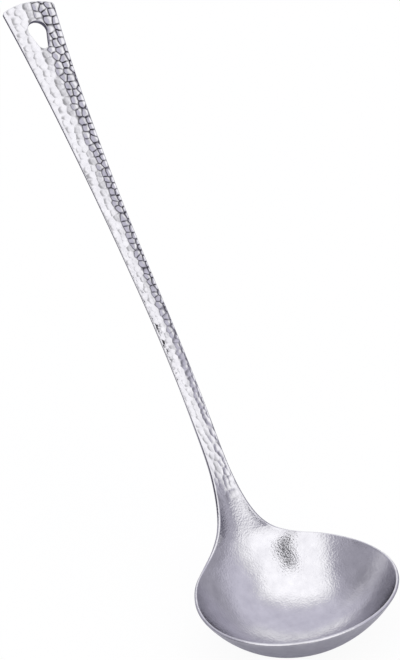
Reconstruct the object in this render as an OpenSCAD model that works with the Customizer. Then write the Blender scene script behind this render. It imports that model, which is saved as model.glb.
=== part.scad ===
// Soup ladle: a round pressed bowl, a long forged handle with a tear-shaped
// hanging hole, and the dressed weld that joins them at the neck.
// Lengths are in millimetres and angles in degrees.
// The origin is the lowest point of the bowl's outside, and its rim lies level.
// The handle rises towards +X, and the ladle is symmetric about y = 0.
//
// One centre line runs from the bowl's front lip to the handle's tip. A station
// s is the distance along it from the bowl's centre. At each station the metal
// is a circular arc between the two edges: dished in the bowl and the neck,
// crowned on the handle.

/* [Bowl] */
// Width of the bowl across the rim
bowl_width = 96; // [80:1:120]
// Distance from the bowl's centre to its front lip
bowl_front = 42; // [38:1:60]
// Depth of the inside below the rim
bowl_depth = 26.8; // [18:0.2:34]
// Wall thickness of the bowl
bowl_wall = 1.6; // [1.2:0.1:2.4]

/* [Neck] */
// Station where the round rim starts to flare into the neck
flare_start = 20; // [12:1:24]
// Station where the neck is narrowest
neck_station = 101; // [92:1:120]
// Width of the neck at its narrowest
neck_width = 10.1; // [8:0.1:14]
// Depth of the channel where the neck leaves the bowl
trough_depth = 2.27; // [1.2:0.01:3.5]
// Radius of the upward turn
bend_radius = 12; // [8:0.5:16]
// Angle of the handle above the rim just after the turn
bend_angle = 63.6; // [50:0.1:70]
// Station at the middle of the weld
weld_station = 66; // [62:1:74]
// Length of the weld along the neck
weld_length = 4; // [3:0.5:6]

/* [Handle] */
// Station of the handle's tip, measured along the centre line
handle_end = 346; // [280:1:380]
// Width of the handle across its tip
tip_width = 29.6; // [24:0.2:36]
// Rise of the rounded end over its corners
tip_bulge = 2.8; // [0.5:0.1:4]
// Thickness at the edges of the handle
edge_thickness = 2; // [1.6:0.1:3]
// Height of the crowned face over the edges
face_crown = 0.8; // [0.4:0.1:1.6]
// Bow radius of the lower handle, curving back over the bowl's far side
bow_radius = 630; // [450:5:900]
// Station where the bow ends and the upper handle runs on nearly straight
bow_end = 183; // [165:1:210]
// Counter-curve radius of the upper handle
upper_radius = 3900; // [2000:50:6000]

/* [Hanging hole] */
// Radius of the hole's round end, nearer the tip
hole_radius = 5.3; // [3.8:0.1:6]
// Radius of the hole's narrow end
hole_small_radius = 3.2; // [2:0.1:3.6]
// Distance between the centres of the two ends
hole_span = 7.6; // [5:0.1:12]
// Metal between the round end and the tip
hole_margin = 11; // [7:0.5:16]

/* [Hidden] */
// Mesh steps: across the metal, along the bowl and along the handle
across = 30;
front_rows = 17;
rear_step = 1.9;
handle_step = 4.4;
handle_across = 10;
front_skip = 3;
// Half widths and the sphere that the inside of the bowl follows
half_bowl = bowl_width / 2;
half_neck = neck_width / 2;
half_tip = tip_width / 2;
rim_height = bowl_depth + bowl_wall;
sphere = (half_bowl * half_bowl + bowl_depth * bowl_depth) / (2 * bowl_depth);
// The trough of the neck runs out this far past the weld
trough_run = 22;
// Stations where the metal thickens and where the face turns from dished to crowned
thicken_lead = 14;
crown_lead = 14;
crown_run = 42;
thicken_start = flare_start + thicken_lead;
thicken_end = weld_station;
crown_start = weld_station + crown_lead;
crown_end = neck_station + crown_run;
// How the handle widens from the neck to the tip
taper_power = 2.95;
// Tangent lengths of the curve that carries the rim into the neck
flare_pull = 0.885 * half_bowl;
neck_pull = 0.864 * (neck_station - flare_start);
// Middle of the bowl's back wall where it is as steep as the handle. The rim turns up
// where it has to for the neck's channel to be this deep there.
steep_floor = [sphere * sin(bend_angle), bowl_wall + sphere * (1 - cos(bend_angle))];
turn_rise = bend_radius * (1 - cos(bend_angle));
bend_start = steep_floor[0] - bend_radius * sin(bend_angle)
    - (trough_depth + (steep_floor[1] - rim_height - turn_rise) * cos(bend_angle)) / sin(bend_angle);
// Stretches of the centre line
bend_end = bend_start + bend_radius * bend_angle * PI / 180;
weld_low = weld_station - weld_length / 2;
weld_high = weld_station + weld_length / 2;
hole_station = handle_end + tip_bulge - hole_margin - hole_radius;
hole_tilt = asin((hole_radius - hole_small_radius) / hole_span);
cutter_height = 20;
steel = [0.74, 0.74, 0.77];
hammered = [0.82, 0.82, 0.84];
weld_tone = [0.70, 0.70, 0.73];
$fn = 72;

function mix(a, b, t) = a + (b - a) * t;
function clip(t) = min(1, max(0, t));
function smooth(t) = let(c = clip(t)) c * c * (3 - 2 * c);

// Centre line: level, one turn up, a long bow, then a slight counter-curve.
// Each stretch starts at [x, z, angle] and bends at a rate in degrees per mm.
function run(p, rate, len) =
    abs(rate) < 1e-9
    ? [p[0] + len * cos(p[2]), p[1] + len * sin(p[2]), p[2]]
    : let(r = 180 / PI / rate, a = p[2] + rate * len)
      [p[0] + r * (sin(a) - sin(p[2])), p[1] - r * (cos(a) - cos(p[2])), a];
turn_rate = 180 / PI / bend_radius;
bow_rate = -180 / PI / bow_radius;
upper_rate = 180 / PI / upper_radius;
knot_bend = [bend_start, rim_height, 0];
knot_bow = run(knot_bend, turn_rate, bend_end - bend_start);
knot_upper = run(knot_bow, bow_rate, bow_end - bend_end);
function spine(s) =
    s < bend_start ? [s, rim_height, 0]
    : s < bend_end ? run(knot_bend, turn_rate, s - bend_start)
    : s < bow_end ? run(knot_bow, bow_rate, s - bend_end)
    : run(knot_upper, upper_rate, s - bow_end);

// Half width: an ellipse in front, a circle behind, then a curve into the neck
flare_half = half_bowl * sqrt(1 - pow(flare_start / half_bowl, 2));
flare_p1 = [flare_start + flare_pull * flare_half / half_bowl,
            flare_half - flare_pull * flare_start / half_bowl];
flare_p2 = [neck_station - neck_pull, half_neck];
function bezier(a, b, c, d, t) =
    a * pow(1 - t, 3) + 3 * b * t * pow(1 - t, 2) + 3 * c * t * t * (1 - t) + d * pow(t, 3);
function flare(t) = bezier([flare_start, flare_half], flare_p1, flare_p2,
                           [neck_station, half_neck], t);
function flare_at(s, low = 0, high = 1, n = 20) =
    let(m = (low + high) / 2)
    n == 0 ? flare(m)[1]
    : flare(m)[0] < s ? flare_at(s, m, high, n - 1) : flare_at(s, low, m, n - 1);
function half_width(s) =
    s < 0 ? half_bowl * sqrt(1 - pow(s / bowl_front, 2))
    : s < flare_start ? half_bowl * sqrt(1 - pow(s / half_bowl, 2))
    : s < neck_station ? flare_at(s)
    : mix(half_neck, half_tip, pow((s - neck_station) / (handle_end - neck_station), taper_power));

// Floor line: the middle of the bowl, up its back wall on the sphere until it is as
// steep as the handle, then straight on. It meets the neck at the join station.
ahead = (steep_floor[0] - knot_bow[0]) * cos(bend_angle)
    + (steep_floor[1] - knot_bow[1]) * sin(bend_angle);
join_station = bend_end + max(ahead, 0);
steep_run = sphere * bend_angle * PI / 180;
join_run = steep_run + max(-ahead, 0);
trough_end = max(join_station, weld_station) + trough_run;
function floor_point(s) =
    let(f = s + (join_run - join_station) * smooth(s / join_station),
        a = min(f, steep_run) * 180 / PI / sphere, past = max(f - steep_run, 0))
    [sphere * sin(a) + past * cos(bend_angle),
     bowl_wall + sphere * (1 - cos(a)) + past * sin(bend_angle)];
// How deep each section's middle lies below its edges, negative where it is crowned,
// and the x and z of the direction in which that is measured
function trough(s) =
    let(p = spine(s))
    s < 0 ? [bowl_depth, 0, -1]
    : s < join_station
    ? let(f = floor_point(s), d = [f[0] - p[0], f[1] - p[1]], n = norm(d)) [n, d[0] / n, d[1] / n]
    : [trough_depth * (1 - smooth((s - join_station) / (trough_end - join_station)))
       - face_crown * smooth((s - crown_start) / (crown_end - crown_start)),
       sin(p[2]), -cos(p[2])];
// Drop of the face from the edge line at a lateral distance y, for a section d deep
function drop(s, y, w, d) =
    s <= 0
    ? sqrt(sphere * sphere - pow(s * half_bowl / bowl_front, 2) - y * y) - (sphere - bowl_depth)
    : let(u = y / w, q = d / w, f = (1 + q * q))
      2 * w * q * (1 - u * u) / (sqrt(f * f - 4 * q * q * u * u) + 1 - q * q);
function face(s, y, w) =
    let(p = spine(s), d = trough(s), e = drop(s, y, w, d[0]))
    [p[0] + e * d[1], y, p[1] + e * d[2]];
function thickness(s, u) =
    mix(bowl_wall, edge_thickness, smooth((s - thicken_start) / (thicken_end - thicken_start)))
    + face_crown * (1 - u * u) * smooth((s - crown_start) / (crown_end - crown_start));
function unit(v) = v / norm(v);
// Small steps for the surface direction
step = 0.05;
function normal(s, y, w0, w1, w2) =
    unit(cross(face(s + step, y, w2) - face(s - step, y, w1),
               face(s, y + step, w0) - face(s, y - step, w0)));
// Face and back points of one row of the mesh
function row(s, cols, bulge = 0) =
    let(w = half_width(s), w1 = half_width(s - step), w2 = half_width(s + step),
        lean = asin(min(0.85, w / sphere)))
    [for (j = [0 : cols])
        let(v = 2 * j / cols - 1, u = sin(lean * v) / sin(lean), y = u * w,
            b = bulge * (1 - u * u), f = face(s + b, y, w), n = normal(s + b, y, w, w1, w2))
        [f, f - n * thickness(s, u)]];

// A closed sheet from rows of face and back points
module sheet(rows) {
    n = len(rows) - 1;
    m = len(rows[0]) - 1;
    size = m + 1;
    top = [for (r = rows) for (p = r) p[0]];
    low = [for (r = rows) for (p = r) p[1]];
    o = len(top);
    upper = [for (i = [0 : n - 1]) for (j = [0 : m - 1])
        let(a = i * size + j, b = a + size) each [[a, b, b + 1], [a, b + 1, a + 1]]];
    lower = [for (f = upper) [f[2] + o, f[1] + o, f[0] + o]];
    function wall(a, b) = [[a, a + o, b + o], [a, b + o, b]];
    right = [for (i = [0 : n - 1]) each wall(i * size, (i + 1) * size)];
    left = [for (i = [0 : n - 1]) each wall((i + 1) * size + m, i * size + m)];
    start = [for (j = [0 : m - 1]) each wall(j + 1, j)];
    finish = [for (j = [0 : m - 1]) each wall(n * size + j, n * size + j + 1)];
    polyhedron(concat(top, low), concat(upper, lower, right, left, start, finish));
}

function steps(a, b, size) = let(n = ceil((b - a) / size)) [for (i = [0 : n]) mix(a, b, i / n)];

// Pressed bowl with its smooth shoulder and the root of the neck
module bowl() {
    front = [for (i = [0 : front_rows - 1])
        -bowl_front * cos(mix(front_skip, 90, i / front_rows))];
    color(steel)
        sheet([for (s = concat(front, steps(0, weld_low, rear_step))) row(s, across)]);
}

// Weld metal, dressed flush with both sides
module neck_weld() {
    color(weld_tone) sheet([for (s = steps(weld_low, weld_high, rear_step)) row(s, across)]);
}

// Tear-shaped cutter, its round end towards the tip
module hole_cutter() {
    p = spine(hole_station);
    reach = [cos(hole_tilt), sin(hole_tilt)];
    side = [sin(hole_tilt), cos(hole_tilt)];
    translate([p[0], 0, p[1]]) rotate([0, -p[2], 0]) {
        cylinder(h = cutter_height, r = hole_radius, center = true);
        translate([-hole_span, 0, 0])
            cylinder(h = cutter_height, r = hole_small_radius, center = true);
        linear_extrude(height = cutter_height, center = true)
            polygon([[-hole_radius * side[0], hole_radius * side[1]],
                     [-hole_span - hole_small_radius * side[0], hole_small_radius * side[1]],
                     [-hole_span - hole_small_radius * side[0], -hole_small_radius * side[1]],
                     [-hole_radius * side[0], -hole_radius * side[1]]]);
    }
}

// Forged handle with a crowned face, a flat back and the hanging hole
module handle() {
    color(hammered) difference() {
        sheet([for (s = steps(weld_high, handle_end, handle_step))
            row(s, handle_across, tip_bulge * smooth((s - hole_station) / (handle_end - hole_station)))]);
        hole_cutter();
    }
}

bowl();
neck_weld();
handle();
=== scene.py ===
"""Soup ladle: the looks of its bowl, neck weld and hammered handle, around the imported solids.

Every shape follows one form: a centre line from the bowl's front lip to the
handle's tip, and at each station along it a circular arc of metal between the
two edges. Sizes are in millimetres and the meshes are in metres.
"""

import logging
import math
from dataclasses import asdict, dataclass, field, replace
from enum import Enum
from functools import cached_property, partial

import bmesh
import bpy
import numpy as np
from mathutils import Matrix, Vector


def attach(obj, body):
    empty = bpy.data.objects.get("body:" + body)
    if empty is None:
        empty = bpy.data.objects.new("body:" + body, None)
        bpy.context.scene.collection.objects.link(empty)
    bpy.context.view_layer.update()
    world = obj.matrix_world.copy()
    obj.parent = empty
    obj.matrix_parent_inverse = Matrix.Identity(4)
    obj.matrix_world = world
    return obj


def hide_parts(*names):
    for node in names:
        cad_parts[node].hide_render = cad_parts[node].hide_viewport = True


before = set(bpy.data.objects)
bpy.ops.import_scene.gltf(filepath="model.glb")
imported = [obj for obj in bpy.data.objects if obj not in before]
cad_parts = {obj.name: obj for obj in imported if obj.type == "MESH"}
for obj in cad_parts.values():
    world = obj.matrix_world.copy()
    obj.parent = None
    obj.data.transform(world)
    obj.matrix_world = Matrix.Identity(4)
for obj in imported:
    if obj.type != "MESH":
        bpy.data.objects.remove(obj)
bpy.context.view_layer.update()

MM = 0.001
LOG = logging.getLogger("ladle")
Array = np.ndarray
Piece = bpy.types.Object
Tree = bpy.types.NodeTree
Socket = bpy.types.NodeSocket

# What a sheet's points keep for the marks, and what the marks keep for the finish.
PLACE = "sheet_place"
OUTWARD = "sheet_out"
ACROSS = "sheet_across"
MARK_SPOT = "mark_spot"

# Node types, the settings used most, and the levels and the middle of a noise's values.
MATHS = "ShaderNodeMath"
VECTORS = "ShaderNodeVectorMath"
REMAP = "ShaderNodeMapRange"
BLEND = "ShaderNodeMix"
SPLIT = "ShaderNodeSeparateXYZ"
JOIN = "ShaderNodeCombineXYZ"
NOISE = "ShaderNodeTexNoise"
CELLS = "ShaderNodeTexVoronoi"
SMOOTH = {"interpolation_type": "SMOOTHSTEP"}
MINUS = {"operation": "SUBTRACT"}
TIMES = {"operation": "MULTIPLY"}
TIMES_PLUS = {"operation": "MULTIPLY_ADD"}
OVER = {"operation": "DIVIDE"}
NOISE_RANGE = (0.3, 0.7)
NOISE_MIDDLE = (0.5, 0.5, 0.5)

# The least half widths that places across are divided by, in the form and for the marks.
NARROWEST = 1e-6
NARROWEST_MARKED = 1.0
# The least bend, in radians a millimetre, that isn't straight.
STRAIGHT = 1e-9
# Faces that meet at more than this angle have a sharp edge.
SHARP_ANGLE = math.radians(50)
# Share of the metal's thickness that one edge's rounding takes at most.
ROUNDED_MOST = 0.49
# Shares of the way round an edge's quarter at which its rows of points stand.
EDGE_STEPS = np.array([0.2, 0.4, 0.6, 0.8, 1.0])


class Ray(Enum):
    """Kinds of ray that a material can answer in their own way, by Light Path's output."""

    CAMERA = "Is Camera Ray"
    GLOSSY = "Is Glossy Ray"
    TRANSMISSION = "Is Transmission Ray"


def ease(value: Array | float) -> Array | float:
    """Return a value from 0 to 1 that starts and ends gently."""
    held = np.clip(value, 0.0, 1.0)
    return held * held * (3.0 - 2.0 * held)


def linear_rgb(hex_colour: str) -> tuple[float, float, float, float]:
    """Turn an sRGB hex colour into linear light.

    Args:
        hex_colour: Six hex digits, with or without a leading hash.

    Returns:
        Red, green, blue and an alpha of 1.
    """
    digits = hex_colour.lstrip("#")
    channels = [int(digits[i:i + 2], 16) / 255 for i in (0, 2, 4)]
    linear = [c / 12.92 if c <= 0.04045 else ((c + 0.055) / 1.055) ** 2.4 for c in channels]
    return (linear[0], linear[1], linear[2], 1.0)


def placed(name: str, data: bpy.types.ID) -> Piece:
    """Put an object with its data into the scene and return it."""
    thing = bpy.data.objects.new(name, data)
    bpy.context.scene.collection.objects.link(thing)
    return thing


def rolled(right: Vector, up: Vector, roll: float) -> tuple[Vector, Vector]:
    """Return two axes turned in their own plane by an angle in radians."""
    return (right * math.cos(roll) + up * math.sin(roll),
            up * math.cos(roll) - right * math.sin(roll))


def run_along(s: Array, y: Array) -> Array:
    """Return each point's distance from the first of a line, along the line."""
    return np.append(0, np.cumsum(np.hypot(np.diff(s), np.diff(y))))


@dataclass(frozen=True)
class Stretch:
    """One stretch of the centre line, bending at a steady rate."""

    station: float
    x: float
    z: float
    angle: float
    rate: float

    def at(self, s: Array) -> tuple[Array, Array, Array]:
        """Work out the centre line on this stretch.

        Args:
            s: Stations.

        Returns:
            Arrays of x, z and angle.
        """
        along = s - self.station
        if abs(self.rate) < STRAIGHT:
            return (self.x + along * math.cos(self.angle),
                    self.z + along * math.sin(self.angle),
                    np.full_like(s, self.angle))
        angle = self.angle + self.rate * along
        return (self.x + (np.sin(angle) - math.sin(self.angle)) / self.rate,
                self.z - (np.cos(angle) - math.cos(self.angle)) / self.rate,
                angle)

    def followed(self, station: float, rate: float) -> "Stretch":
        """Return the stretch that goes on from this one at a station."""
        x, z, angle = self.at(np.array([station]))
        return Stretch(station, float(x[0]), float(z[0]), float(angle[0]), rate)


@dataclass(frozen=True)
class LadleForm:
    """The ladle's driving sizes, in millimetres and degrees, and the surface they give.

    The two pulls say how far the flare's curve keeps to the rim's and the neck's lines, in
    shares of the bowl's half width and of the flare's length.
    """

    bowl_width: float = 96.0
    bowl_front: float = 42.0
    bowl_depth: float = 26.8
    bowl_wall: float = 1.6
    flare_start: float = 20.0
    neck_station: float = 101.0
    neck_width: float = 10.1
    trough_depth: float = 2.27
    bend_radius: float = 12.0
    bend_angle: float = 63.6
    weld_station: float = 66.0
    weld_length: float = 4.0
    handle_end: float = 346.0
    tip_width: float = 29.6
    tip_bulge: float = 2.8
    edge_thickness: float = 2.0
    face_crown: float = 0.8
    bow_radius: float = 630.0
    bow_end: float = 183.0
    upper_radius: float = 3900.0
    hole_radius: float = 5.3
    hole_small_radius: float = 3.2
    hole_span: float = 7.6
    hole_margin: float = 11.0
    taper_power: float = 2.95
    trough_run: float = 22.0
    thicken_lead: float = 14.0
    crown_lead: float = 14.0
    crown_run: float = 42.0
    rim_pull: float = 0.885
    neck_pull: float = 0.864
    flare_steps: int = 2001
    normal_step: float = 0.05

    @property
    def half_bowl(self) -> float:
        """Half the width of the bowl."""
        return self.bowl_width / 2

    @property
    def rim_height(self) -> float:
        """Height of the rim over the bowl's lowest point."""
        return self.bowl_depth + self.bowl_wall

    @property
    def sphere(self) -> float:
        """Radius of the sphere that the inside follows."""
        return (self.half_bowl ** 2 + self.bowl_depth ** 2) / (2 * self.bowl_depth)

    @property
    def weld_low(self) -> float:
        """Station where the bowl's metal meets the weld."""
        return self.weld_station - self.weld_length / 2

    @property
    def weld_high(self) -> float:
        """Station where the weld meets the handle."""
        return self.weld_station + self.weld_length / 2

    @property
    def hole_station(self) -> float:
        """Station at the centre of the hole's round end."""
        return self.handle_end + self.tip_bulge - self.hole_margin - self.hole_radius

    def stretches(self) -> list[Stretch]:
        """Return the four stretches of the centre line, in order."""
        level = Stretch(-self.bowl_front, -self.bowl_front, self.rim_height, 0.0, 0.0)
        turn = level.followed(self.bend_start, 1 / self.bend_radius)
        bend_end = self.bend_start + self.bend_radius * math.radians(self.bend_angle)
        bow = turn.followed(bend_end, -1 / self.bow_radius)
        upper = bow.followed(self.bow_end, 1 / self.upper_radius)
        return [level, turn, bow, upper]

    def centre_line(self, s: Array) -> tuple[Array, Array, Array]:
        """Return x, z and angle of the centre line.

        Args:
            s: Stations.

        Returns:
            Arrays of x, z and angle, shaped as the stations are.
        """
        parts = self.stretches()
        x, z, angle = parts[0].at(s)
        for part in parts[1:]:
            px, pz, pa = part.at(s)
            on = s >= part.station
            x, z, angle = np.where(on, px, x), np.where(on, pz, z), np.where(on, pa, angle)
        return x, z, angle

    def flare(self) -> tuple[Array, Array]:
        """Draw the curve of the edge from the rim into the neck.

        Returns:
            Stations and half widths along it.
        """
        half = self.half_bowl
        start_half = half * math.sqrt(1 - (self.flare_start / half) ** 2)
        a = np.array([self.flare_start, start_half])
        b = a + self.rim_pull * half * np.array([start_half, -self.flare_start]) / half
        d = np.array([self.neck_station, self.neck_width / 2])
        c = d - np.array([self.neck_pull * (self.neck_station - self.flare_start), 0.0])
        t = np.linspace(0, 1, self.flare_steps)[:, None]
        curve = (a * (1 - t) ** 3 + 3 * b * t * (1 - t) ** 2
                 + 3 * c * t * t * (1 - t) + d * t ** 3)
        return curve[:, 0], curve[:, 1]

    def half_width(self, s: Array) -> Array:
        """Work out how far the metal reaches to each side.

        Args:
            s: Stations.

        Returns:
            Half the width at each station.
        """
        half = self.half_bowl
        reach = np.where(s < 0, self.bowl_front, half)
        width = half * np.sqrt(np.maximum(1 - (s / reach) ** 2, 0))
        width = np.where(s >= self.flare_start, np.interp(s, *self.flare()), width)
        along = np.maximum(s - self.neck_station, 0) / (self.handle_end - self.neck_station)
        neck = self.neck_width / 2
        widened = neck + (self.tip_width / 2 - neck) * along ** self.taper_power
        return np.where(s >= self.neck_station, widened, width)

    def crowning(self, s: Array) -> Array:
        """Return how far the section has turned from dished to crowned, from 0 to 1."""
        start, end = self.weld_station + self.crown_lead, self.neck_station + self.crown_run
        return ease((s - start) / (end - start))

    @cached_property
    def turn(self) -> float:
        """Angle that the rim turns up through into the neck, in radians."""
        return math.radians(self.bend_angle)

    @cached_property
    def steep_floor(self) -> tuple[float, float]:
        """Point x, z of the bowl's back wall where it is as steep as the handle."""
        return (self.sphere * math.sin(self.turn),
                self.bowl_wall + self.sphere * (1 - math.cos(self.turn)))

    @cached_property
    def bend_start(self) -> float:
        """Station where the rim turns up, which gives the neck's channel its depth."""
        x, z = self.steep_floor
        rise = z - self.rim_height - self.bend_radius * (1 - math.cos(self.turn))
        lean = (self.trough_depth + rise * math.cos(self.turn)) / math.sin(self.turn)
        return x - self.bend_radius * math.sin(self.turn) - lean

    @cached_property
    def floor_join(self) -> tuple[float, float]:
        """Station where the floor line meets the neck, and the run along it up to there."""
        bow = self.stretches()[2]
        x, z = self.steep_floor
        ahead = (x - bow.x) * math.cos(self.turn) + (z - bow.z) * math.sin(self.turn)
        return bow.station + max(ahead, 0.0), self.sphere * self.turn + max(-ahead, 0.0)

    def trough(self, s: Array) -> tuple[Array, Array, Array]:
        """Return the middle of each section behind the bowl's centre.

        Args:
            s: Stations.

        Returns:
            The sagitta, positive dished and negative crowned, and the x and z of the
            direction in which it is measured.
        """
        x, z, angle = self.centre_line(s)
        station, length = self.floor_join
        run = s + (length - station) * ease(s / station)
        theta = np.clip(run / self.sphere, 0, self.turn)
        past = np.maximum(run - self.sphere * self.turn, 0)
        dx = self.sphere * np.sin(theta) + past * math.cos(self.turn) - x
        dz = (self.sphere * (1 - np.cos(theta)) + self.bowl_wall
              + past * math.sin(self.turn) - z)
        deep = np.hypot(dx, dz)
        end = max(station, self.weld_station) + self.trough_run
        fade = 1 - ease((s - station) / (end - station))
        beyond = self.trough_depth * fade - self.face_crown * self.crowning(s)
        in_bowl = s < station
        return (np.where(in_bowl, deep, beyond), np.where(in_bowl, dx / deep, np.sin(angle)),
                np.where(in_bowl, dz / deep, -np.cos(angle)))

    def face(self, s: Array, y: Array) -> Array:
        """Work out points of the upper face, also a little past its edge.

        Args:
            s: Stations.
            y: Lateral distances.

        Returns:
            The points, with x, y and z on the last axis.
        """
        x, z, _ = self.centre_line(s)
        half = self.half_bowl
        square = self.sphere ** 2 - (s * half / self.bowl_front) ** 2 - y * y
        cap = np.sqrt(np.maximum(square, 0)) - (self.sphere - self.bowl_depth)
        width = np.maximum(self.half_width(s), NARROWEST)
        sagitta, lean_x, lean_z = self.trough(s)
        u, q = y / width, sagitta / width
        root = np.sqrt(np.maximum((1 + q * q) ** 2 - 4 * q * q * u * u, 0))
        arc = 2 * width * q * (1 - u * u) / (root + 1 - q * q)
        front = s <= 0
        drop = np.where(front, cap, arc)
        return np.stack([x + drop * np.where(front, 0, lean_x), y + 0 * x,
                         z + drop * np.where(front, -1, lean_z)], -1)

    def normal(self, s: Array, y: Array) -> Array:
        """Work out the directions square to the face.

        Args:
            s: Stations.
            y: Lateral distances.

        Returns:
            Unit vectors out of the ladle's upper side.
        """
        step = self.normal_step
        along = self.face(s + step, y) - self.face(s - step, y)
        aside = self.face(s, y + step) - self.face(s, y - step)
        square = np.cross(along, aside)
        return square / np.linalg.norm(square, axis=-1, keepdims=True)

    def thickness(self, s: Array, y: Array) -> Array:
        """Work out how thick the metal is under the face.

        Args:
            s: Stations.
            y: Lateral distances.

        Returns:
            The thickness at each point.
        """
        start, end = self.flare_start + self.thicken_lead, self.weld_station
        grown = ease((s - start) / (end - start))
        u = np.clip(y / np.maximum(self.half_width(s), NARROWEST), -1, 1)
        edge = self.bowl_wall + (self.edge_thickness - self.bowl_wall) * grown
        return edge + self.face_crown * (1 - u * u) * self.crowning(s)


@dataclass
class Sheet:
    """A closed sheet of metal grown from a flat layout of stations and lateral distances."""

    form: LadleForm
    places: list[Array] = field(default_factory=list)
    quads: list[Array] = field(default_factory=list)
    count: int = 0

    def add_places(self, places: Array) -> Array:
        """Add points of the layout.

        Args:
            places: Rows of station and lateral distance.

        Returns:
            The points' numbers.
        """
        numbers = np.arange(self.count, self.count + len(places))
        self.places.append(places)
        self.count += len(places)
        return numbers

    @staticmethod
    def band(inner: Array, outer: Array, closed: bool) -> Array:
        """Return the quads between two rows of point numbers of equal length.

        Args:
            inner: Numbers of the first row.
            outer: Numbers of the second row.
            closed: Whether the rows run round to their own start.

        Returns:
            Rows of four point numbers.
        """
        if closed:
            inner, outer = np.append(inner, inner[0]), np.append(outer, outer[0])
        return np.stack([inner[:-1], inner[1:], outer[1:], outer[:-1]], -1)

    def add_band(self, inner: Array, outer: Array, closed: bool) -> None:
        """Add the quads between two rows of the face."""
        self.quads.append(self.band(inner, outer, closed))

    def grow(self, name: str, edges: list["Edge"], caps: list[Array]) -> Piece:
        """Give the layout its thickness, its rounded edges and its flat ends.

        Args:
            name: Name of the piece.
            edges: Edges to round, each a run of point numbers with its true places.
            caps: Rows of point numbers that end flat against the next piece.

        Returns:
            The piece, with its place in its mesh.
        """
        flat = np.concatenate(self.places)
        s, y = flat[:, 0], flat[:, 1]
        face = self.form.face(s, y)
        out = self.form.normal(s, y)
        back = face - out * self.form.thickness(s, y)[:, None]
        total = len(flat)
        points = [face, back]
        marks = [np.column_stack([flat, np.full(total, weight)]) for weight in (1.0, 0.0)]
        outward = [out, -out]
        upper = np.concatenate(self.quads)
        faces = [upper[:, ::-1], upper + total]
        ends: dict[int, list[int]] = {}
        extra = 2 * total
        for edge in edges:
            rows, weights = edge.profile(self.form, face, back)
            steps, length = rows.shape[:2]
            numbers = extra + np.arange(steps * length).reshape(steps, length)
            extra += steps * length
            points.append(rows.reshape(-1, 3))
            place = np.repeat(edge.true[None], steps, 0).reshape(-1, 2)
            marks.append(np.column_stack([place, np.repeat(weights, length)]))
            outward.append(np.repeat(out[edge.numbers][None], steps, 0).reshape(-1, 3))
            ladder = np.concatenate([edge.numbers[None], numbers, edge.numbers[None] + total])
            faces += [self.band(low, high, edge.closed)
                      for low, high in zip(ladder[:-1], ladder[1:])]
            if not edge.closed:
                ends[int(edge.numbers[0])] = [int(v) for v in ladder[:, 0]]
                ends[int(edge.numbers[-1])] = [int(v) for v in ladder[:, -1]]
        loose = [row for block in faces for row in block.tolist()]
        for cap in caps:
            loose += [[int(a), int(b), int(b) + total, int(a) + total]
                      for a, b in zip(cap[:-1], cap[1:])]
            loose += [ends[int(cap[0])][::-1], ends[int(cap[-1])]]
        marks = np.concatenate(marks)
        across = marks[:, 1] / np.maximum(self.form.half_width(marks[:, 0]), NARROWEST_MARKED)
        return self._mesh(name, np.concatenate(points), loose, marks, np.concatenate(outward),
                          across)

    @staticmethod
    def _mesh(name: str, points: Array, faces: list[list[int]], marks: Array,
              outward: Array, across: Array) -> Piece:
        """Make the object, which keeps what the marks need at each of its points.

        Args:
            name: Name of the piece.
            points: The points, in millimetres.
            faces: Rows of point numbers.
            marks: Each point's station, lateral distance and weight of its marks.
            outward: Each point's direction out of the metal.
            across: Each point's place across, in shares of the half width.

        Returns:
            The object.
        """
        mesh = bpy.data.meshes.new(name)
        mesh.from_pydata((points * MM).tolist(), [], faces)
        mesh.validate()
        shell = bmesh.new()
        shell.from_mesh(mesh)
        bmesh.ops.recalc_face_normals(shell, faces=shell.faces)
        shell.to_mesh(mesh)
        shell.free()
        for label, values in ((PLACE, marks), (OUTWARD, outward)):
            layer = mesh.attributes.new(label, "FLOAT_VECTOR", "POINT")
            layer.data.foreach_set("vector", np.ascontiguousarray(values, np.float32).ravel())
        layer = mesh.attributes.new(ACROSS, "FLOAT", "POINT")
        layer.data.foreach_set("value", np.ascontiguousarray(across, np.float32))
        mesh.shade_smooth()
        return placed(name, mesh)


@dataclass(frozen=True)
class Rounding:
    """How far the edges are rounded over: most of all at the neck, least on the handle.

    The rim, neck and bar values are millimetres; the others are stations.
    """

    rim: float = 0.7
    neck: float = 1.0
    bar: float = 0.5
    bar_drop: float = 0.25
    neck_start: float = 30.0
    neck_end: float = 56.0
    bar_start: float = 75.0
    bar_end: float = 130.0

    def reach(self, s: Array) -> Array:
        """Return how far in from the edge the rounding starts at each station."""
        return self._along(s, self.bar)

    def drop(self, s: Array) -> Array:
        """Return how far down the edge the rounding goes at each station."""
        return self._along(s, self.bar_drop)

    def _along(self, s: Array, bar: float) -> Array:
        """Blend the rim's value into the neck's and then the bar's.

        Args:
            s: Stations.
            bar: The bar's value.

        Returns:
            The value at each station.
        """
        into = ease((s - self.neck_start) / (self.neck_end - self.neck_start))
        past = ease((s - self.bar_start) / (self.bar_end - self.bar_start))
        return self.rim + (self.neck - self.rim) * into + (bar - self.neck) * past


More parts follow.
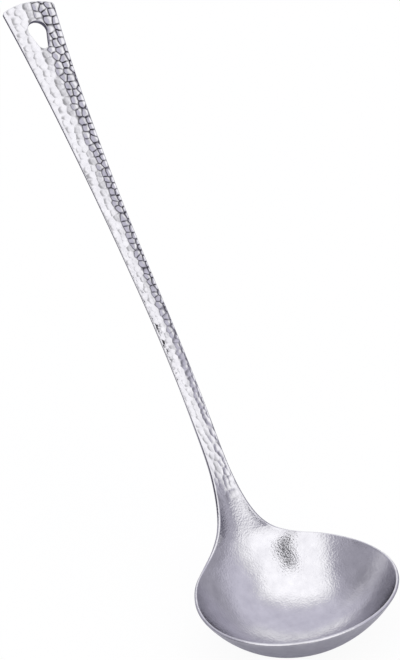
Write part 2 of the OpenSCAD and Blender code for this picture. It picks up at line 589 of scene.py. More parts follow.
@dataclass(frozen=True)
class Edge:
    """A run of the sheet's border that is rounded over.

    Its points, kept by their numbers, lie inside the true places of the metal's edge.
    """

    numbers: Array
    true: Array
    radius: Array | float
    closed: bool

    def profile(self, form: LadleForm, face: Array, back: Array) -> tuple[Array, Array]:
        """Return the rows of points between the face and the back.

        Args:
            form: The ladle's form.
            face: All points of the face.
            back: All points of the back.

        Returns:
            Rows of points from the face side to the back side, and each row's mark weight.
        """
        s, y = self.true[:, 0], self.true[:, 1]
        top = form.face(s, y)
        depth = form.thickness(s, y)[:, None]
        low = top - form.normal(s, y) * depth
        share = np.minimum(np.reshape(self.radius, (-1, 1)) / depth, ROUNDED_MOST)
        start, end = face[self.numbers], back[self.numbers]
        upper, lower = top + (low - top) * share, low + (top - low) * share
        rows = [a * (1 - t) ** 2 + 2 * corner * t * (1 - t) + b * t * t
                for a, corner, b, steps in ((start, top, upper, EDGE_STEPS),
                                            (lower, low, end, 1 - EDGE_STEPS[::-1]))
                for t in steps]
        weights = np.concatenate([np.maximum(1 - 2 * EDGE_STEPS, 0), np.zeros(len(EDGE_STEPS))])
        return np.stack(rows), weights


def add_node(tree: Tree, kind: str, *inputs: object,
             **settings: object) -> bpy.types.NodeOutputs:
    """Add a node with its settings, its socket values and its links.

    Args:
        tree: The tree that gets the node.
        kind: The node's type name.
        inputs: Sockets to link or values to hold, for the node's inputs in their order, or
            one dict of them by the inputs' names or numbers.
        settings: Values for the node's properties.

    Returns:
        The new node's outputs.
    """
    node = tree.nodes.new(kind)
    for label, value in settings.items():
        setattr(node, label, value)
    by_name = bool(inputs) and isinstance(inputs[0], dict)
    for key, value in (inputs[0] if by_name else dict(enumerate(inputs))).items():
        socket = node.inputs[key]
        if isinstance(value, Socket):
            tree.links.new(value, socket)
        else:
            socket.default_value = value
    return node.outputs


def empty_tree(owner: bpy.types.Material | bpy.types.World) -> Tree:
    """Return the node tree of a material or a world, emptied."""
    owner.use_nodes = True
    owner.node_tree.nodes.clear()
    return owner.node_tree


@dataclass(frozen=True)
class HammerMarks:
    """Overlapping round dents, as a ball-faced hammer leaves them, with ridges between.

    Their spacing grows from the neck's station to the tip's. They fade in from the first
    station to the whole one, and before the streaks' end they run out into long streaks.
    The hammer falls harder toward one edge, so the dents are deeper there. The painted shade
    lines between the marks are also stronger on that side, where the steel mirrors darker
    surroundings.
    Spacings, depth and stations are in millimetres. The last five are places across, in
    shares of the half width.
    """

    neck_spacing: float
    tip_spacing: float
    depth: float
    jitter: float
    seed: float
    first: float
    whole: float
    streak_end: float
    neck: float = 101.0
    tip: float = 346.0
    streak: float = 0.0
    slant: float = 0.0
    soft_depth: float = 1.0
    soft_line: float = 0.0
    hard_line: float = 0.0
    line_first: float = 0.0
    line_whole: float = 1.0
    line_faintest: float = 1.0
    wander: float = 0.0
    seed_step: float = 9.0
    drift_scale: float = 1.1
    dent_power: float = 1.8
    dent_rise: float = 2.2
    edge_fade: float = 0.82
    depth_from: float = 0.2
    depth_full: float = -0.6
    line_from: float = 0.3
    line_full: float = -0.55

    def tree(self) -> Tree:
        """Build the node tree that presses the dents into a sheet.

        Returns:
            The tree, with an input for each size.
        """
        tree = bpy.data.node_groups.new("hammer_marks", "GeometryNodeTree")
        face = tree.interface
        for way in ("OUTPUT", "INPUT"):
            face.new_socket("Geometry", in_out=way, socket_type="NodeSocketGeometry")
        for label in self.sizes():
            face.new_socket(label, in_out="INPUT", socket_type="NodeSocketFloat")
        face.new_socket("Finish", in_out="INPUT", socket_type="NodeSocketMaterial")
        add = partial(add_node, tree)
        given = add("NodeGroupInput")
        place, outward, across = (
            add("GeometryNodeInputNamedAttribute", {"Name": label}, data_type=kind)[0]
            for label, kind in ((PLACE, "FLOAT_VECTOR"), (OUTWARD, "FLOAT_VECTOR"),
                                (ACROSS, "FLOAT")))
        station, side, upper = add(SPLIT, place)
        size, spot = self.spot(tree, given, station, side)
        cells = add(CELLS, {"Vector": spot, "Scale": 1.0, "Randomness": given["Jitter"]},
                    voronoi_dimensions="2D", feature="F1")["Distance"]
        # How deep the metal goes down there.
        edge = add(MATHS, across, operation="ABSOLUTE")[0]
        grown, inner, lean, high, fainter = (
            add(REMAP, value, *ends, **SMOOTH)[0] for value, ends in (
                (station, (given["First"], given["Whole"])),
                (edge, (1.0, given["Edge fade"])),
                (across, (given["Depth from"], given["Depth full"],
                          given["Soft depth"], 1.0)),
                (station, (given["Line first"], given["Line whole"],
                           given["Soft line"], given["Hard line"])),
                (station, (given["Line first"], given["Line whole"],
                           given["Line faintest"], 1.0))))
        dent = add(MATHS, cells, given["Dent power"], operation="POWER")[0]
        dent = add(MATHS, dent, given["Dent rise"], -1.0, **TIMES_PLUS)[0]
        sunk = add(MATHS, dent, 0.0, operation="MINIMUM")[0]
        marked = add(MATHS, upper, grown, **TIMES)[0]
        relative = add(MATHS, size, given["Tip spacing"], **OVER)[0]
        for factor in (marked, inner, given["Depth"], lean, relative, MM):
            sunk = add(MATHS, sunk, factor, **TIMES)[0]
        move = add(VECTORS, {0: outward, "Scale": sunk}, operation="SCALE")[0]
        pressed = add("GeometryNodeSetPosition",
                      {"Geometry": given["Geometry"], "Offset": move})[0]
        # What the finish is told: the place among the marks and the strength of the painted
        # shade lines.
        line = add(REMAP, across, given["Line from"], given["Line full"],
                   given["Soft line"], high, **SMOOTH)[0]
        for factor in (fainter, marked):
            line = add(MATHS, line, factor, **TIMES)[0]
        x, y, _ = add(SPLIT, spot)
        told = add("GeometryNodeStoreNamedAttribute",
                   {"Geometry": pressed, "Name": MARK_SPOT, "Value": add(JOIN, x, y, line)[0]},
                   data_type="FLOAT_VECTOR", domain="POINT")[0]
        real = add("GeometryNodeRealizeInstances", told)[0]
        dressed = add("GeometryNodeSetMaterial",
                      {"Geometry": real, "Material": given["Finish"]})[0]
        add("NodeGroupOutput", dressed)
        return tree

    @staticmethod
    def spot(tree: Tree, given: bpy.types.NodeOutputs, station: Socket,
             side: Socket) -> tuple[Socket, Socket]:
        """Add the nodes that tell where a point stands among the marks.

        The marks' spacing grows evenly to the tip, so its logarithm counts them off.

        Args:
            tree: The tree that gets the nodes.
            given: The tree's named inputs.
            station: The point's station.
            side: The point's lateral distance.

        Returns:
            The marks' spacing there, and the place where each mark takes up about 1.
        """
        add = partial(add_node, tree)
        short = add(MATHS, given["Streak end"], station, **MINUS)[0]
        short = add(MATHS, short, 0.0, operation="MAXIMUM")[0]
        drawn = add(MATHS, short, given["Streak"], station, **TIMES_PLUS)[0]
        rise, run = (add(MATHS, given[high], given[low], **MINUS)[0]
                     for high, low in (("Tip spacing", "Neck spacing"), ("Tip", "Neck")))
        growth = add(MATHS, rise, run, **OVER)[0]
        past, drawn_past = (add(MATHS, at, given["Neck"], **MINUS)[0]
                            for at in (station, drawn))
        size, drawn_size = (add(MATHS, at, growth, given["Neck spacing"], **TIMES_PLUS)[0]
                            for at in (past, drawn_past))
        counted = add(MATHS, drawn_size, math.e, operation="LOGARITHM")[0]
        counted = add(MATHS, counted, growth, **OVER)[0]
        along = add(MATHS, given["Seed"], given["Seed step"], counted, **TIMES_PLUS)[0]
        slid = add(MATHS, short, given["Slant"], side, **TIMES_PLUS)[0]
        aside = add(MATHS, slid, size, **OVER)[0]
        even = add(JOIN, along, aside)[0]
        drift = add(NOISE, {"Vector": even, "Scale": given["Drift scale"], "Detail": 1.0},
                    noise_dimensions="2D")["Color"]
        drift = add(VECTORS, drift, NOISE_MIDDLE, **MINUS)[0]
        drift = add(VECTORS, {0: drift, "Scale": given["Wander"]}, operation="SCALE")[0]
        return size, add(VECTORS, even, drift, operation="ADD")[0]

    def sizes(self) -> dict[str, float]:
        """Return the tree's inputs, named after the fields, with their values."""
        return {name.replace("_", " ").capitalize(): value
                for name, value in asdict(self).items()}

    def press(self, piece: Piece, finish: bpy.types.Material) -> None:
        """Press the dents into a piece and leave it a plain mesh.

        Args:
            piece: The sheet to mark, which carries its places and directions.
            finish: The material that it gets.
        """
        modifier = piece.modifiers.new("hammer_marks", "NODES")
        modifier.node_group = self.tree()
        values = {**self.sizes(), "Finish": finish}
        for item in modifier.node_group.interface.items_tree:
            if item.item_type == "SOCKET" and item.in_out == "INPUT" and item.name in values:
                modifier[item.identifier] = values[item.name]
        graph = bpy.context.evaluated_depsgraph_get()
        mesh = bpy.data.meshes.new_from_object(piece.evaluated_get(graph))
        piece.modifiers.clear()
        old = piece.data
        piece.data = mesh
        mesh.name = piece.name
        bpy.data.meshes.remove(old)
        for label in (PLACE, OUTWARD, ACROSS):
            mesh.attributes.remove(mesh.attributes[label])
        mesh.set_sharp_from_angle(angle=SHARP_ANGLE)


@dataclass(frozen=True)
class PaintedMarkShade:
    """Painted shade between hammer marks: dark rings where it is strong, standing in for the
    shade in the grooves, and crescents elsewhere, on each dent's side away from the light.

    Each pair tells where a line starts to show and where it is whole: in shares of the
    marks' spacing from a mark's middle, or for `ring_strength` in the line's strength. A
    ring's line is darkest where it is its width over `core` from the cells' border.
    """

    core: float = 3.0
    rim: tuple[float, float] = (0.46, 0.7)
    ring_side: tuple[float, float] = (-0.35, 0.1)
    ring_least: float = 0.55
    crescent: tuple[float, float] = (0.2, 0.56)
    crescent_side: tuple[float, float] = (-0.1, 0.38)
    crescent_ends: tuple[float, float] = (0.65, 0.2)
    ring_strength: tuple[float, float] = (0.55, 0.85)


@dataclass(frozen=True)
class Grain:
    """One layer of noise in a finish: its size and depth in millimetres, and its detail."""

    size: float
    depth: float = 0.0
    detail: float = 3.0
    roughness: float = 0.5


@dataclass(frozen=True)
class SteelFinish:
    """Stainless steel with soft clouds of tone, fine ripples and a brushed grain.

    Where hammer marks have left their spots, painted shade draws dark rings or crescents between
    them.
    `line_share` is the lines' width in shares of the marks' spacing.
    """

    name: str
    tone: str
    cloud_tone: str
    # Colour of the painted shade between the hammer marks.
    painted_shade_tone: str
    roughness: float
    roughness_spread: float
    clouds: Grain
    ripple: Grain
    grain: Grain
    line_share: float
    line_jitter: float = 0.6
    lines: PaintedMarkShade = PaintedMarkShade()

    def material(self) -> bpy.types.Material:
        """Build the finish on Object coordinates and on the spots that the marks left.

        Returns:
            The material, named for the finish.
        """
        material = bpy.data.materials.new(self.name)
        tree = empty_tree(material)
        add = partial(add_node, tree)
        place = add("ShaderNodeTexCoord")["Object"]
        clouds, ripple, grain = (
            add(NOISE, {"Vector": place, "Scale": 1 / (layer.size * MM),
                        "Detail": layer.detail, "Roughness": layer.roughness})["Fac"]
            for layer in (self.clouds, self.ripple, self.grain))
        tone = add(BLEND, {0: clouds, 6: linear_rgb(self.tone), 7: linear_rgb(self.cloud_tone)},
                   data_type="RGBA")[2]
        # Painted shade: the dark line tone in the grooves between the marks and on each dent's
        # side away from the light.
        tone = add(BLEND, {0: self.draw_painted_shade(tree), 6: tone,
                           7: linear_rgb(self.painted_shade_tone)}, data_type="RGBA")[2]
        rough = add(REMAP, grain, *NOISE_RANGE, self.roughness - self.roughness_spread,
                    self.roughness + self.roughness_spread)[0]
        rippled = add("ShaderNodeBump", {"Height": ripple, "Strength": 1.0,
                                         "Distance": self.ripple.depth * MM})[0]
        grained = add("ShaderNodeBump", {"Height": grain, "Strength": 1.0,
                                         "Distance": self.grain.depth * MM,
                                         "Normal": rippled})[0]
        steel = add("ShaderNodeBsdfPrincipled", {"Base Color": tone, "Metallic": 1.0,
                                                 "Roughness": rough, "Normal": grained})[0]
        add("ShaderNodeOutputMaterial", steel)
        return material

    def draw_painted_shade(self, tree: Tree) -> Socket:
        """Add the nodes that draw the painted shade between the marks: dark rings and crescents.

        Args:
            tree: The material's tree.

        Returns:
            The lines' strength, from 0 to 1.
        """
        add, lines = partial(add_node, tree), self.lines
        spot = add("ShaderNodeAttribute", attribute_name=MARK_SPOT)["Vector"]
        edge, cell = (
            add(CELLS, {"Vector": spot, "Scale": 1.0, "Randomness": self.line_jitter},
                voronoi_dimensions="2D", feature=feature)
            for feature in ("DISTANCE_TO_EDGE", "F1"))
        offset = add(VECTORS, spot, cell["Position"], **MINUS)[0]
        along, aside, _ = add(SPLIT, offset)
        told = add(SPLIT, spot)["Z"]
        thin, rim, ring_side, crescent, crescent_side, crescent_ends, ring_share = (
            add(REMAP, value, *ends, **SMOOTH)[0] for value, ends in (
                (edge["Distance"], (self.line_share, self.line_share / lines.core)),
                (cell["Distance"], lines.rim),
                (aside, lines.ring_side),
                (cell["Distance"], lines.crescent),
                (aside, lines.crescent_side),
                (add(MATHS, along, operation="ABSOLUTE")[0], lines.crescent_ends),
                (told, lines.ring_strength)))
        outline = add(MATHS, thin, rim, operation="MAXIMUM")[0]
        ring = add(MATHS, ring_side, 1 - lines.ring_least, lines.ring_least, **TIMES_PLUS)[0]
        ring = add(MATHS, outline, ring, **TIMES)[0]
        for factor in (crescent_side, crescent_ends):
            crescent = add(MATHS, crescent, factor, **TIMES)[0]
        line = add(BLEND, {0: ring_share, 2: crescent, 3: ring}, data_type="FLOAT")[0]
        return add(MATHS, line, told, **TIMES)[0]


# The real grain of the steel is finer than 0.1 mm, too fine to show: it is drawn coarser.
GRAIN_MM = 0.35
# Stainless sheet, pressed and then tumbled to a satin: soft lights with a speckled border.
SATIN_STEEL = SteelFinish("satin_steel", tone="#D8D7DB", cloud_tone="#B6B5BB",
                          painted_shade_tone="#4A484C", roughness=0.10, roughness_spread=0.03,
                          clouds=Grain(5.0, roughness=0.55), ripple=Grain(0.9, 0.10),
                          grain=Grain(GRAIN_MM, 0.002, 4.0, 0.7), line_share=0.1)
# Weld metal ground flush and finished with the bowl, so that it can't be told from it.
WELD_STEEL = replace(SATIN_STEEL, name="weld_steel")
# Forged stainless bar, hammered and then polished: sharp small lights in each dent, and painted
# shade between the dents: dark rings in the grooves, strongest where the steel mirrors darker
# surroundings, and crescents on each dent's side away from the light.
HAMMERED_STEEL = SteelFinish("hammered_steel", tone="#D6D5D9", cloud_tone="#B4B3B9",
                             painted_shade_tone="#2C2A2E", roughness=0.10, roughness_spread=0.02,
                             clouds=Grain(3.0, roughness=0.55), ripple=Grain(0.9, 0.03),
                             grain=Grain(GRAIN_MM, 0.001, 4.0, 0.7), line_share=0.16)

# Marks of the ball-faced hammer on the handle.
HAMMERING = HammerMarks(neck_spacing=2.7, tip_spacing=4.4, depth=0.4, jitter=0.6, seed=3.0,
                        first=60.0, whole=84.0, streak_end=112.0, streak=0.35, slant=0.2,
                        soft_depth=0.3, soft_line=0.55, hard_line=1.0, line_first=115.0,
                        line_whole=190.0, line_faintest=0.85, wander=0.3)
# Shallow planishing marks all over the bowl, without lines, which make its lights waver.
PLANISHING = HammerMarks(neck_spacing=3.4, tip_spacing=3.5, depth=0.012, jitter=0.9,
                         seed=5.0, first=-60.0, whole=-50.0, streak_end=-60.0)


@dataclass
class Part:
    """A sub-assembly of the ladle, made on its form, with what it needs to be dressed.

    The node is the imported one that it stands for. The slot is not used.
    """

    form: LadleForm
    node: str
    slot: str
    finish: SteelFinish
    marks: HammerMarks = PLANISHING
    rounding: Rounding = Rounding()

    def dress(self, piece: Piece) -> None:
        """Mark a piece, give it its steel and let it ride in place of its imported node.

        Args:
            piece: The finished sheet.
        """
        self.marks.press(piece, self.finish.material())
        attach(piece, "root")
        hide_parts(self.node)


@dataclass
class Bowl(Part):
    """The pressed bowl with its smooth shoulder and the root of the neck.

    Rings of places run round its centre from `hub_share` of the way to the rim. At the rim
    only `rim_inset` of the rounding's reach is inset, and all of it in the neck.
    """

    node: str = "bowl"
    slot: str = "satin_steel"
    finish: SteelFinish = SATIN_STEEL
    rings: int = 88
    hub_share: float = 0.015
    border_step: float = 0.85
    arc_points: int = 400
    cap_columns: int = 18
    rim_inset: float = 0.6
    inset_run: float = 10.0

    def border(self) -> tuple[Array, Array]:
        """Return the rim's true places and the places inset by the rounding.

        Returns:
            Two arrays of station and lateral distance, from one weld corner to the other.
        """
        form = self.form
        back = np.linspace(form.weld_low, 0, self.arc_points)
        lean = np.linspace(math.pi / 2, math.pi, self.arc_points)[1:]
        s = np.concatenate([back, form.bowl_front * np.cos(lean)])
        y = np.concatenate([form.half_width(back), form.half_bowl * np.sin(lean)])
        s, y = np.append(s, s[-2::-1]), np.append(y, -y[-2::-1])
        run = run_along(s, y)
        even = np.linspace(0, run[-1], int(run[-1] / self.border_step))
        true = np.column_stack([np.interp(even, run, s), np.interp(even, run, y)])
        heading = np.gradient(true, axis=0)
        heading /= np.linalg.norm(heading, axis=1, keepdims=True)
        inward = np.column_stack([-heading[:, 1], heading[:, 0]])
        into_neck = ease((true[:, :1] - form.bend_start) / self.inset_run)
        share = self.rim_inset + (1 - self.rim_inset) * into_neck
        inset = true + inward * self.rounding.reach(true[:, :1]) * share
        inset[0], inset[-1] = true[0], true[-1]
        inset[0, 1] -= self.rounding.reach(form.weld_low)
        inset[-1, 1] += self.rounding.reach(form.weld_low)
        return true, inset

    def build(self) -> Piece:
        """Build the bowl as rings round its centre.

        Returns:
            The piece.
        """
        sheet = Sheet(self.form)
        true, inset = self.border()
        columns = self.cap_columns + (len(inset) + self.cap_columns) % 2
        across = np.linspace(inset[-1, 1], inset[0, 1], columns + 2)[1:-1]
        cap_line = np.column_stack([np.full_like(across, self.form.weld_low), across])
        outline = np.concatenate([inset, cap_line])
        shares = np.linspace(self.hub_share, 1, self.rings)
        rows = [sheet.add_places(outline * share) for share in shares]
        for inner, outer in zip(rows[:-1], rows[1:]):
            sheet.add_band(inner, outer, closed=True)
        centre = sheet.add_places(np.zeros((1, 2)))
        hub, last = rows[0], rows[-1]
        sheet.quads.append(np.stack([hub[0::2], np.full_like(hub[0::2], centre[0]),
                                     np.roll(hub[0::2], -1), hub[1::2]], -1))
        edge = Edge(last[:len(true)], true, self.rounding.drop(true[:, 0]), closed=False)
        cap = np.concatenate([last[len(true) - 1:], last[:1]])
        return sheet.grow("bowl_sheet", [edge], [cap])


@dataclass
class NeckWeld(Part):
    """The weld across the neck, dressed flush on both sides."""

    node: str = "neck_weld"
    slot: str = "weld_steel"
    finish: SteelFinish = WELD_STEEL
    columns: int = 40
    rows: int = 10

    def build(self) -> Piece:
        """Build the weld as a short strip.

        Returns:
            The piece.
        """
        sheet = Sheet(self.form)
        stations = np.linspace(self.form.weld_low, self.form.weld_high, self.rows)
        half, round_off = self.form.half_width(stations), self.rounding.reach(stations)
        rows = [sheet.add_places(np.column_stack([
            np.full(self.columns + 1, s),
            np.linspace(-1, 1, self.columns + 1) * (w - r)]))
            for s, w, r in zip(stations, half, round_off)]
        for low, high in zip(rows[:-1], rows[1:]):
            sheet.add_band(low, high, closed=False)
        grid, drop = np.array(rows), self.rounding.drop(stations)
        left = Edge(grid[::-1, 0], np.column_stack([stations, -half])[::-1], drop[::-1],
                    closed=False)
        right = Edge(grid[:, -1], np.column_stack([stations, half]), drop, closed=False)
        return sheet.grow("weld_bead", [left, right], [rows[0], rows[-1][::-1]])


@dataclass
class Handle(Part):
    """The forged handle: hammered face, plain back, rounded edges and the hanging hole.

    Its grid leaves out a block, `block_margin` past the hole's ends and `block_half` to each
    side, which rings fill. Their rays start `hole_hub` of the hole's span from its round end.
    """

    node: str = "handle"
    slot: str = "hammered_steel"
    finish: SteelFinish = HAMMERED_STEEL
    marks: HammerMarks = HAMMERING
    row_step: float = 0.47
    columns: int = 64
    corner_radius: float = 1.3
    hole_edge_radius: float = 0.3
    hole_rings: int = 8
    hole_hub: float = 1 / 3
    round_points: int = 240
    narrow_points: int = 160
    outline_points: int = 2000
    block_margin: float = 2.2
    block_half: float = 7.6

    def spots(self, base: Array, u: Array, inset: float) -> Array:
        """Return places of the layout, with the tip's curve and its round corners.

        Args:
            base: Stations before the tip's curve is added.
            u: Shares of the half width, from -1 to 1.
            inset: Distance that the places stay inside the edge.

        Returns:
            Rows of station and lateral distance.
        """
        form = self.form
        swell = form.tip_bulge * ease((base - form.hole_station)
                                      / (form.handle_end - form.hole_station))
        width = form.half_width(base)
        y = u * (width - inset)
        past_side = 1 - (width - np.abs(y)) / self.corner_radius
        past_tip = 1 - (form.handle_end - base) / self.corner_radius
        corner = (past_side > 0) & (past_tip > 0)
        a, b = np.where(corner, past_side, 0), np.where(corner, past_tip, 0)
        aside = (a - a * np.sqrt(1 - b * b / 2)) * self.corner_radius
        along = (b - b * np.sqrt(1 - a * a / 2)) * self.corner_radius
        y = y - np.sign(y) * aside
        return np.column_stack([base - along + swell * (1 - u * u), y])

    def hole(self, centre: float, toward: Array, inset: float) -> Array:
        """Return where rays from a point on the middle line cross the hole's outline.

        Args:
            centre: Station of the point.
            toward: Places that the rays run to.
            inset: Distance that the outline stays inside the metal.

        Returns:
            Rows of station and lateral distance.
        """
        form = self.form
        big, small = form.hole_radius + inset, form.hole_small_radius + inset
        turn = math.pi / 2 + math.asin((big - small) / form.hole_span)
        round_end = np.linspace(-turn, turn, self.round_points)
        narrow_end = np.linspace(turn, 2 * math.pi - turn, self.narrow_points)
        s = np.concatenate([form.hole_station + big * np.cos(round_end),
                            form.hole_station - form.hole_span + small * np.cos(narrow_end)])
        y = np.concatenate([big * np.sin(round_end), small * np.sin(narrow_end)])
        s, y = np.append(s, s[0]), np.append(y, y[0])
        run = run_along(s, y)
        even = np.linspace(0, run[-1], self.outline_points)[:-1]
        s, y = np.interp(even, run, s), np.interp(even, run, y)
        ray, wanted = np.arctan2(y, s - centre), np.arctan2(toward[:, 1], toward[:, 0] - centre)
        return np.column_stack([np.interp(wanted, ray, s, period=2 * math.pi),
                                np.interp(wanted, ray, y, period=2 * math.pi)])

    def build(self) -> Piece:
        """Build the handle as a grid with rings round its hole.

        Returns:
            The piece.
        """
        form, sheet = self.form, Sheet(self.form)
        count = int((form.handle_end - form.weld_high) / self.row_step)
        base = np.linspace(form.weld_high, form.handle_end - self.rounding.bar, count + 1)
        u = np.linspace(-1, 1, self.columns + 1)
        layout = np.stack([self.spots(np.full_like(u, b), u, float(self.rounding.reach(b)))
                           for b in base])
        narrow_end = form.hole_station - form.hole_span - form.hole_small_radius
        low, high = np.searchsorted(base, [narrow_end - self.block_margin,
                                           form.hole_station + form.hole_radius
                                           + self.block_margin])
        last = int(np.searchsorted(u * form.half_width(base[low:low + 1]), self.block_half))
        first = self.columns - last
        inside = np.zeros(layout.shape[:2], bool)
        inside[low + 1:high, first + 1:last] = True
        numbers = np.full(inside.shape, -1)
        numbers[~inside] = sheet.add_places(layout[~inside])
        solid = np.ones((count, self.columns), bool)
        solid[low:high, first:last] = False
        quads = np.stack([numbers[:-1, :-1], numbers[:-1, 1:],
                          numbers[1:, 1:], numbers[1:, :-1]], -1)
        sheet.quads.append(quads[solid])
        ring, outer = (np.concatenate([grid[low, first:last], grid[low:high, last],
                                       grid[high, last:first:-1], grid[high:low:-1, first]])
                       for grid in (numbers, layout))
        centre = form.hole_station - form.hole_span * self.hole_hub
        inner = self.hole(centre, outer, self.hole_edge_radius)
        for share in np.linspace(0, 1, self.hole_rings + 1)[1:]:
            following = sheet.add_places(outer + (inner - outer) * share)
            sheet.add_band(ring, following, closed=True)
            ring = following
        hole_edge = Edge(ring, self.hole(centre, outer, 0.0), self.hole_edge_radius,
                         closed=True)
        sides = np.append(base[:-1], form.handle_end)
        tip = np.full(self.columns - 1, form.handle_end)
        true = self.spots(np.concatenate([sides, tip, sides[::-1]]),
                          np.concatenate([np.ones_like(sides), u[-2:0:-1],
                                          -np.ones_like(sides)]), 0.0)
        border = np.concatenate([numbers[:, -1], numbers[-1, -2:0:-1], numbers[::-1, 0]])
        edge = Edge(border, true, self.rounding.drop(true[:, 0]), closed=False)
        return sheet.grow("hammered_handle", [edge, hole_edge], [numbers[0]])


@dataclass(frozen=True)
class Softbox:
    """A rectangle of light round the ladle, or of shade where its strength is negative.

    Its middle, its roll, its two sizes and its soft border are angles in degrees. It fills
    only directions whose cosine to its middle is over `grazing`.
    """

    azimuth: float
    elevation: float
    roll: float
    width: float
    height: float
    softness: float
    strength: float
    grazing: float = 0.001

    def add_to(self, tree: Tree, way: Socket, total: Socket) -> Socket:
        """Add the box to a light value that depends on the direction.

        Args:
            tree: The world's tree.
            way: The direction looked in.
            total: The light so far.

        Returns:
            The light with this box.
        """
        az, el, roll = (math.radians(a) for a in (self.azimuth, self.elevation, self.roll))
        centre = Vector((math.cos(az) * math.cos(el), math.sin(az) * math.cos(el), math.sin(el)))
        level = Vector((math.sin(az), -math.cos(az), 0.0))
        width, height = rolled(level, level.cross(centre), roll)
        soft = math.tan(math.radians(self.softness))
        add = partial(add_node, tree)
        toward = add(VECTORS, way, centre, operation="DOT_PRODUCT")["Value"]
        ahead, light = (add(MATHS, toward, self.grazing, operation=operation)[0]
                        for operation in ("MAXIMUM", "GREATER_THAN"))
        for axis, size in ((width, self.width), (height, self.height)):
            aside = add(VECTORS, way, axis, operation="DOT_PRODUCT")["Value"]
            away = add(MATHS, aside, operation="ABSOLUTE")[0]
            away = add(MATHS, away, ahead, **OVER)[0]
            half = math.tan(math.radians(size / 2))
            inside = add(REMAP, away, half + soft, half - soft, **SMOOTH)[0]
            light = add(MATHS, light, inside, **TIMES)[0]
        return add(MATHS, light, self.strength, total, **TIMES_PLUS)[0]


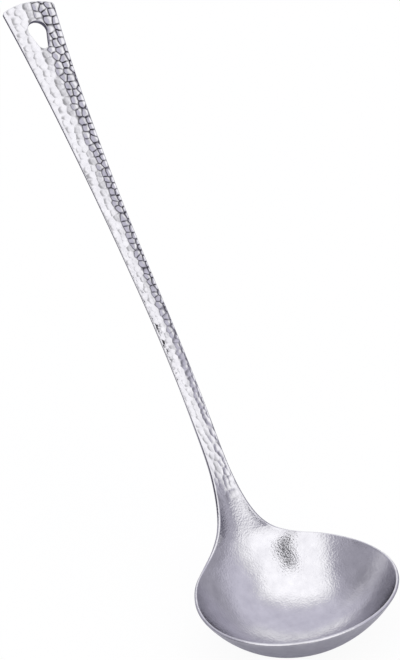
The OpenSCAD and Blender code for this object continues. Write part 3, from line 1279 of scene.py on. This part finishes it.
@dataclass
class Studio:
    """Pale floor, soft surroundings and the camera at the photograph's angle.

    The first three fields are the camera's angles in degrees. Lengths are millimetres, but for
    `view_depth`, which is metres. What the steel mirrors of the paper is half lit paper and half
    painted shade, a dim cool glow, and wholly painted shade, darker still, beyond
    `paper_radius`.
    """

    azimuth: float = 27.686
    elevation: float = 23.229
    roll: float = -6.748
    distance: float = 716.991
    target: tuple[float, float, float] = (68.250, 0.0, 138.844)
    focal_pixels: float = 1500.0
    image_height: float = 660.0
    sensor: float = 24.0
    floor_radius: float = 12000.0
    floor_gap: float = 0.15
    floor_sides: int = 64
    view_depth: float = 100.0
    paper_radius: float = 240.0
    paper_centre: float = 30.0
    paper_fade: float = 0.2
    camera_glow: float = 0.93
    glossy_glow: float = 0.5
    paper_shade: float = 0.3
    beyond_shade: float = 0.18
    surround: float = 0.97
    darkest: float = 0.03
    brightest: float = 1.6
    backdrop: float = 1.0
    cool: str = "#F4F2FF"
    floor_cool: str = "#E4E0FF"
    white: str = "#FFFFFF"
    paper: str = "#FAFAFA"
    lights: tuple[Softbox, ...] = (
        # The long panel in front of the ladle.
        Softbox(182, 50, -12, 44, 84, 11, 0.65),
        # The panel overhead.
        Softbox(153, 81, 7, 60, 40, 8, 0.65),
        # A panel beside the camera, which lights the bowl's far wall.
        Softbox(122, 43, 0, 32, 36, 8, 0.65),
        # A low fill behind and to the right, which lights the rim.
        Softbox(330, 18, 0, 46, 26, 6, 0.6),
    )
    shades: tuple[Softbox, ...] = (
        # The dark slot in the front panel.
        Softbox(166, 52, -18, 8, 27, 2, -3.0),
        # Shade along the side away from the camera, low down.
        Softbox(261, 5, 0, 78, 47, 10, -0.42),
        # A dim gap under the front panel.
        Softbox(200, 4, 0, 34, 26, 8, -0.45),
        # Shade behind the ladle.
        Softbox(63, 33, 0, 58, 51, 20, -0.4),
        # The dark gap low down behind the ladle.
        Softbox(17, 10, -60, 58, 12, 30, -0.75),
        # The dark room low down beside the camera.
        Softbox(115, 5, 0, 100, 36, 6, -0.8),
    )

    def build(self) -> None:
        """Build the floor, the surroundings and the camera."""
        self.build_floor()
        self.build_surroundings()
        self.build_camera()

    def build_floor(self) -> None:
        """Lay a pale floor just under the bowl, which keeps the ladle's shadow."""
        mesh = bpy.data.meshes.new("studio_floor")
        turn = np.linspace(0, 2 * math.pi, self.floor_sides + 1)[:-1]
        ring = np.column_stack([np.cos(turn), np.sin(turn)]) * self.floor_radius
        points = np.column_stack([ring, np.full(len(ring), -self.floor_gap)]) * MM
        mesh.from_pydata(points.tolist(), [], [list(range(len(ring)))])
        mesh.materials.append(self.paper_material())
        placed("studio_floor", mesh)

    def paper_material(self) -> bpy.types.Material:
        """Make matt paper that the camera sees evenly lit white; the steel sees it partly as
        painted shade, a dim cool glow.

        Returns:
            The floor's material.
        """
        material = bpy.data.materials.new("matt_white_paper")
        add = partial(add_node, empty_tree(material))
        path = add("ShaderNodeLightPath")
        glossy = path[Ray.GLOSSY.value]
        clear = add(MATHS, path[Ray.CAMERA.value], path[Ray.TRANSMISSION.value],
                    operation="MAXIMUM")[0]
        away = add(VECTORS, add("ShaderNodeTexCoord")["Object"],
                   (self.paper_centre * MM, 0.0, 0.0), operation="DISTANCE")["Value"]
        radius = self.paper_radius * MM
        past = add(REMAP, away, radius * (1 - self.paper_fade), radius * (1 + self.paper_fade),
                   **SMOOTH)[0]
        level = add(REMAP, past, 0.0, 1.0, self.paper_shade, self.beyond_shade)[0]
        # Painted shade: glossy rays see the paper as a dim cool glow, darker beyond the paper's
        # radius.
        strength = add(BLEND, {0: glossy, 2: 1.0, 3: level}, data_type="FLOAT")[0]
        glow = add(BLEND, {0: glossy, 6: linear_rgb(self.white),
                           7: linear_rgb(self.floor_cool)}, data_type="RGBA")[2]
        shone = add(MATHS, past, self.glossy_glow, operation="MAXIMUM")[0]
        shone = add(MATHS, glossy, shone, **TIMES)[0]
        seen = add(MATHS, clear, self.camera_glow, **TIMES)[0]
        share = add(MATHS, seen, shone, operation="MAXIMUM")[0]
        matt = add("ShaderNodeBsdfDiffuse", linear_rgb(self.paper))[0]
        lit = add("ShaderNodeEmission", glow, strength)[0]
        mixed = add("ShaderNodeMixShader", share, matt, lit)[0]
        add("ShaderNodeOutputMaterial", mixed)
        return material

    def build_surroundings(self) -> None:
        """Give the world its even tone with soft bright boxes and dark gaps."""
        world = bpy.data.worlds.new("studio")
        bpy.context.scene.world = world
        tree = empty_tree(world)
        add = partial(add_node, tree)
        way = add("ShaderNodeTexCoord")["Generated"]
        total = add("ShaderNodeValue")[0]
        total.default_value = self.surround
        for boxes, operation, limit in ((self.lights, "MINIMUM", self.brightest),
                                        (self.shades, "MAXIMUM", self.darkest)):
            for box in boxes:
                total = box.add_to(tree, way, total)
            total = add(MATHS, total, limit, operation=operation)[0]
        seen = add("ShaderNodeLightPath")[Ray.CAMERA.value]
        shown = add(BLEND, {0: seen, 2: total, 3: self.backdrop}, data_type="FLOAT")[0]
        bright = add(REMAP, shown, self.surround, self.backdrop)[0]
        tint = add(BLEND, {0: bright, 6: linear_rgb(self.cool), 7: linear_rgb(self.white)},
                   data_type="RGBA")[2]
        sky = add("ShaderNodeBackground", tint, shown)[0]
        add("ShaderNodeOutputWorld", sky)

    def build_camera(self) -> None:
        """Place the camera where the photograph was taken from."""
        camera = bpy.data.cameras.new("camera")
        camera.sensor_fit = "VERTICAL"
        camera.sensor_height = self.sensor
        camera.lens = self.sensor * self.focal_pixels / self.image_height
        camera.clip_end = self.view_depth
        eye = placed("camera", camera)
        az, el, roll = (math.radians(a) for a in (self.azimuth, self.elevation, self.roll))
        back = Vector((-math.cos(az) * math.cos(el), math.sin(az) * math.cos(el), math.sin(el)))
        right = Vector((0, 0, 1)).cross(back).normalized()
        matrix = Matrix((*rolled(right, back.cross(right), roll), back)).transposed().to_4x4()
        matrix.translation = (Vector(self.target) + back * self.distance) * MM
        eye.matrix_world = matrix
        bpy.context.scene.camera = eye


def main() -> None:
    """Build the ladle piece by piece, then the studio round it."""
    logging.basicConfig(level=logging.INFO, format="%(message)s")
    form = LadleForm()
    for part in (Bowl(form), NeckWeld(form), Handle(form)):
        piece = part.build()
        part.dress(piece)
        LOG.info("%s: %d points, %d faces", piece.name,
                 len(piece.data.vertices), len(piece.data.polygons))
    Studio().build()
    bpy.context.scene.view_settings.view_transform = "Standard"


if __name__ == "__main__":
    main()
